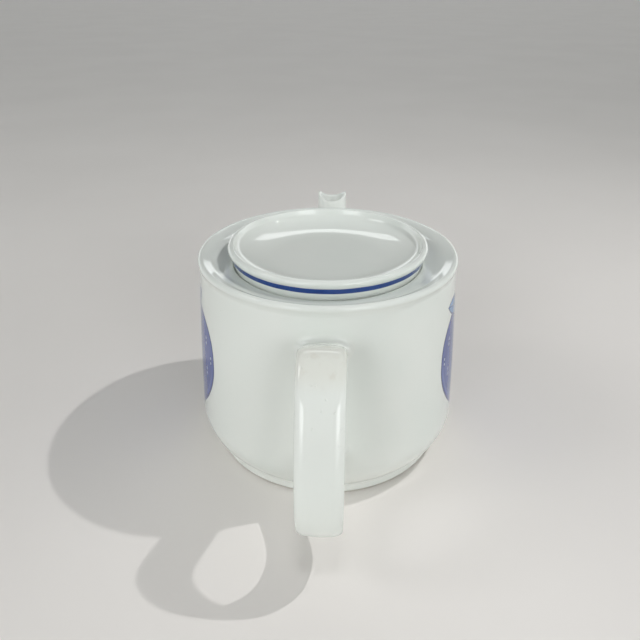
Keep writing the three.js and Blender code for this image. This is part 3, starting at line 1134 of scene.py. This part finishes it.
def foot_glaze():
    finish = Finish("foot_glaze_bare_land")
    point, axes = place_of(finish)
    edge = axes[2] + (clouds(finish, point, 6.0) - 0.5) * 0.5
    bare = 1.0 - edge.between(0.6, 0.9)
    grain = clouds(finish, point, 0.8, 4.0)
    biscuit = finish.mix(grain, colour(168, 162, 150), colour(205, 199, 188))
    relief = grain * 0.05 * bare + clouds(finish, point, 5.0, 1.0) * 0.01
    bump = bumped(finish, relief)
    shader = finish.node(
        "ShaderNodeBsdfPrincipled",
        {},
        {
            "Base Color": finish.mix(bare, porcelain_white, biscuit),
            "Roughness": bare * 0.62 + 0.09,
            "IOR": glaze_ior,
            "Normal": bump,
        },
    )
    return finish.done(shader)


def strap_glaze():
    """The top of the handle is painted a little darker and warmer, with faint brown patches, and
    small raised beads of glaze lie near the top.
    """
    finish = Finish("glaze_handle")
    point, axes = place_of(finish)
    top = axes[2].between(90.0, 98.0) * (axes[0] * -1.0).between(76.0, 84.0)
    # Paints the top of the strap a little darker and warmer, with faint brown patches over it.
    brown_patches = top * clouds(finish, point, 6.0, 3.0).between(0.5, 0.75)
    darker_warmer_top = finish.mix(top * 0.5, porcelain_white, colour(222, 220, 210))
    base = finish.mix(brown_patches * 0.3, darker_warmer_top, colour(198, 188, 172))
    beads = specks(finish, point, 3.2, 0.55, 0.45) * axes[2].between(64.0, 76.0)
    return finish.done(glazed(finish, point, base, beads))


plain_glaze = pot_glaze()
lid_finish = lid_glaze()
finishes = [
    (wall, wall_glaze(), "pot", "body", "glaze"),
    (gallery, plain_glaze, "pot", "gallery", "glaze"),
    (foot, foot_glaze(), "pot", "foot_ring", "bare_foot"),
    (spout, plain_glaze, "pot", "spout", "glaze"),
    (handle, strap_glaze(), "pot", "handle", "glaze"),
    (lid_dish, lid_finish, "lid", "lid_dish", "lid_glaze"),
    (flange, plain_glaze, "lid", "lid_flange", "lid_glaze"),
    (lug, plain_glaze, "lid", "lid_lug", "lid_glaze"),
]
for piece, finish, group, node, slot in finishes:
    piece.data.materials.clear()
    piece.data.materials.append(finish)
    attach(piece, group)
    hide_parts(node)
print("dressed", len(finishes), "pieces")

# %% [markdown]
# ## The table, the lamps and the camera
#
# A pale, almost matt table carries the shadows. One small lamp high on the right throws the crisp
# ones, a broad panel on the left fills them in, and a soft spotlight brightens the table under the
# handle. The glaze mirrors pale walls and two windows in front, and a dark space with a bright low
# strip behind. The camera sees plain pale air past the table.

# %% The table
table_half, table_top, table_ior = 9000.0, -0.02, 1.45


def table_piece():
    count = 60
    xs = np.linspace(-table_half, table_half, count)
    points = [(x, y, table_top) for x in xs for y in xs]
    faces = [
        (i * count + j, (i + 1) * count + j, (i + 1) * count + j + 1, i * count + j + 1)
        for i in range(count - 1)
        for j in range(count - 1)
    ]
    piece = mesh_piece("table", points, faces)
    finish = Finish("table_top")
    point, axes = place_of(finish)
    patches = clouds(finish, point, 240.0, 3.0).between(0.3, 0.7)
    cream = finish.mix(patches * 0.5, colour(239, 235, 231), colour(234, 230, 226))
    sheen = clouds(finish, point, 120.0) * 0.1 + 0.5
    sockets = {"Base Color": cream, "Roughness": sheen, "IOR": table_ior}
    shader = finish.node("ShaderNodeBsdfPrincipled", {}, sockets)
    piece.data.materials.append(finish.done(shader))


table_piece()


# %% The room and the lamps
room_window, room_wall, room_low = 3.7, 0.95, 0.42
room_strip, room_ceiling, room_lamp, room_dark = 1.7, 0.10, 2.6, 0.04


def room():
    """Pale walls and two windows in front, a low strip and a high lamp in the dark behind."""
    finish = Finish("room", bpy.data.worlds.new("room"))
    direction = finish.node("ShaderNodeTexCoord", {}, {}, "Generated")
    split = finish.node("ShaderNodeSeparateXYZ", {}, {0: direction})
    away, aside, rise = (Amount(finish, split.socket.node.outputs[i]) for i in range(3))
    front = (away * -1.0).between(-0.1, 0.3)
    low = 1.0 - rise.between(0.15, 0.25)
    high = rise.between(0.50, 0.56)
    middle = (1.0 - low) * (1.0 - high)
    across = abs(aside)
    window = across.between(0.28, 0.30) * (1.0 - across.between(0.58, 0.62))
    worker = 1.0 - across.between(0.18, 0.22)
    walls = front * (window * room_window + room_wall)
    walls = walls * (middle + low * room_low) * (1.0 - worker * 0.85)
    ceiling_lamp = rise.between(0.57, 0.58) * (1.0 - rise.between(0.69, 0.70))
    ceiling_lamp = ceiling_lamp * away.between(0.5, 0.52)
    ceiling_lamp = ceiling_lamp * (1.0 - across.between(0.24, 0.27))
    level = (
        walls
        + (1.0 - front) * low * room_strip
        + high * room_ceiling
        + ceiling_lamp * room_lamp
        + room_dark
    )
    tinted = {0: level * 0.985, 1: level * 1.01, 2: level * 1.01}
    shade = finish.node("ShaderNodeCombineColor", {}, tinted)
    light = finish.node("ShaderNodeBackground", {}, {"Color": shade, "Strength": 1.0})
    sockets = {"Color": colour(214, 212, 208), "Strength": 1.0}
    plain = finish.node("ShaderNodeBackground", {}, sockets)
    seen = finish.node("ShaderNodeLightPath", {}, {}, "Is Camera Ray")
    both = finish.node("ShaderNodeMixShader", {}, {0: seen, 1: light, 2: plain})
    bpy.context.scene.world = finish.done(both, "ShaderNodeOutputWorld")


def hang(name, light, position):
    """Puts a light at a place in millimetres."""
    stand = bpy.data.objects.new(name, light)
    stand.location = [c * MM for c in position]
    bpy.context.scene.collection.objects.link(stand)
    return stand


def lamp(name, position, target, size, power):
    """A round lamp or panel, turned to face a target."""
    light = bpy.data.lights.new(name, "AREA")
    light.shape = "DISK"
    light.size = size * MM
    light.energy = power
    aim = np.array(target, float) - np.array(position, float)
    hang(name, light, position).rotation_euler = Vector(aim).to_track_quat("-Z", "Y").to_euler()


def spotlight(name, position, degrees, size, power):
    """A soft cone straight down, which the glaze does not mirror."""
    light = bpy.data.lights.new(name, "SPOT")
    light.energy = power
    light.spot_size = math.radians(degrees)
    light.spot_blend = 1.0
    light.shadow_soft_size = size * MM
    hang(name, light, position).visible_glossy = False


room()
lamp("lamp_right", (85.5, -418.5, 692.0), (0, 0, 40), 16.0, 1.8)
lamp("panel_left", (-200.0, 900.0, 900.0), (0, 0, 40), 400.0, 1.8)
spotlight("pool_front", (-260.0, 0.0, 700.0), 48, 60.0, 3.0)

# %% The camera
view_down = math.radians(28.79)
view_turn = math.radians(2.2)
camera_data = bpy.data.cameras.new("camera")
camera_data.lens = 35.4
camera_data.sensor_width = 36.0
camera_data.clip_start = 0.01
camera_data.clip_end = 20.0
camera = bpy.data.objects.new("camera", camera_data)
camera.location = (-308.9 * MM, -7.8 * MM, 238.0 * MM)
camera.rotation_euler = (math.pi / 2 - view_down, 0.0, -math.pi / 2 + view_turn)
bpy.context.scene.collection.objects.link(camera)
bpy.context.scene.camera = camera
bpy.context.scene.view_settings.view_transform = "Standard"
print("camera at", tuple(camera.location))
